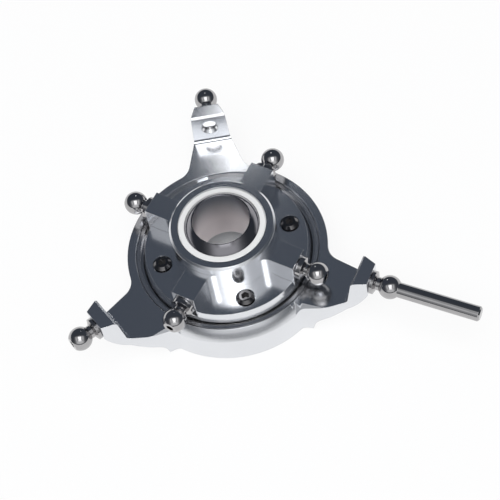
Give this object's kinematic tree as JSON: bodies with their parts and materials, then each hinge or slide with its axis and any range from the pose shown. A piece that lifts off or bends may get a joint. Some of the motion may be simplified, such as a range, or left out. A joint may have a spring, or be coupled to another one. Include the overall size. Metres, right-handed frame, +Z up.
{
  "type": "helicopter swashplate",
  "caption": "Model helicopter swashplate: stationary plate with arms and an anti-rotation pin, rotating plate with control balls, and a uniball for the main shaft.",
  "frame": {"origin": "centre of the uniball, in the plane through all control ball centres", "axes": "+Z up along the main shaft towards the rotor head, +X along the arm that carries the anti-rotation pin"},
  "size_m": [0.0804, 0.069, 0.0209],
  "materials": {
    "machined_aluminium": "polished, dark clear anodised",
    "polished_steel": "mirror polished",
    "bearing_steel": "ground and polished",
    "spring_steel": "satin",
    "black_steel": "black oxide, oiled",
    "cage_brass": "pressed, bare",
    "white_plastic": "turned, satin"
  },
  "bodies": {
    "stationary": {"stationary_plate": "machined_aluminium", "bearing_retaining_ring": "spring_steel", "anti_rotation_pin": "polished_steel", "far_arm_ball_stud": "polished_steel", "left_arm_ball_stud": "polished_steel", "upper_bearing_outer_race": "bearing_steel", "lower_bearing_outer_race": "bearing_steel", "upper_bearing_shield": "bearing_steel", "lower_bearing_shield": "bearing_steel"},
    "rotating": {"rotating_plate": "machined_aluminium", "inner_sleeve": "machined_aluminium", "clamp_screws": "black_steel", "upper_ball_liner": "white_plastic", "lower_ball_liner": "white_plastic", "upper_bearing_inner_race": "bearing_steel", "lower_bearing_inner_race": "bearing_steel", "rotating_ball_stud_1": "polished_steel", "rotating_ball_stud_2": "polished_steel", "rotating_ball_stud_3": "polished_steel", "rotating_ball_stud_4": "polished_steel"},
    "upper_cage": {"upper_bearing_cage": "cage_brass", "upper_bearing_balls": "bearing_steel"},
    "lower_cage": {"lower_bearing_cage": "cage_brass", "lower_bearing_balls": "bearing_steel"},
    "uniball": {"uniball": "polished_steel"}
  },
  "joints": [
    {"name": "plate_spin", "type": "hinge", "parent": "stationary", "child": "rotating", "pos_m": [0, 0, 0], "axis": [0, 0, 1], "continuous": true},
    {"name": "upper_cage_spin", "type": "hinge", "parent": "stationary", "child": "upper_cage", "pos_m": [0, 0, 0], "axis": [0, 0, 1], "continuous": true},
    {"name": "lower_cage_spin", "type": "hinge", "parent": "stationary", "child": "lower_cage", "pos_m": [0, 0, 0], "axis": [0, 0, 1], "continuous": true},
    {"name": "uniball_tilt", "type": "hinge", "parent": "rotating", "child": "uniball", "pos_m": [0, 0, 0], "axis": [1, 0, 0], "range_deg": [-14, 14]}
  ],
  "couplings": [
    {"joint": "upper_cage_spin", "follows": "plate_spin", "ratio": 0.471},
    {"joint": "lower_cage_spin", "follows": "plate_spin", "ratio": 0.471}
  ]
}
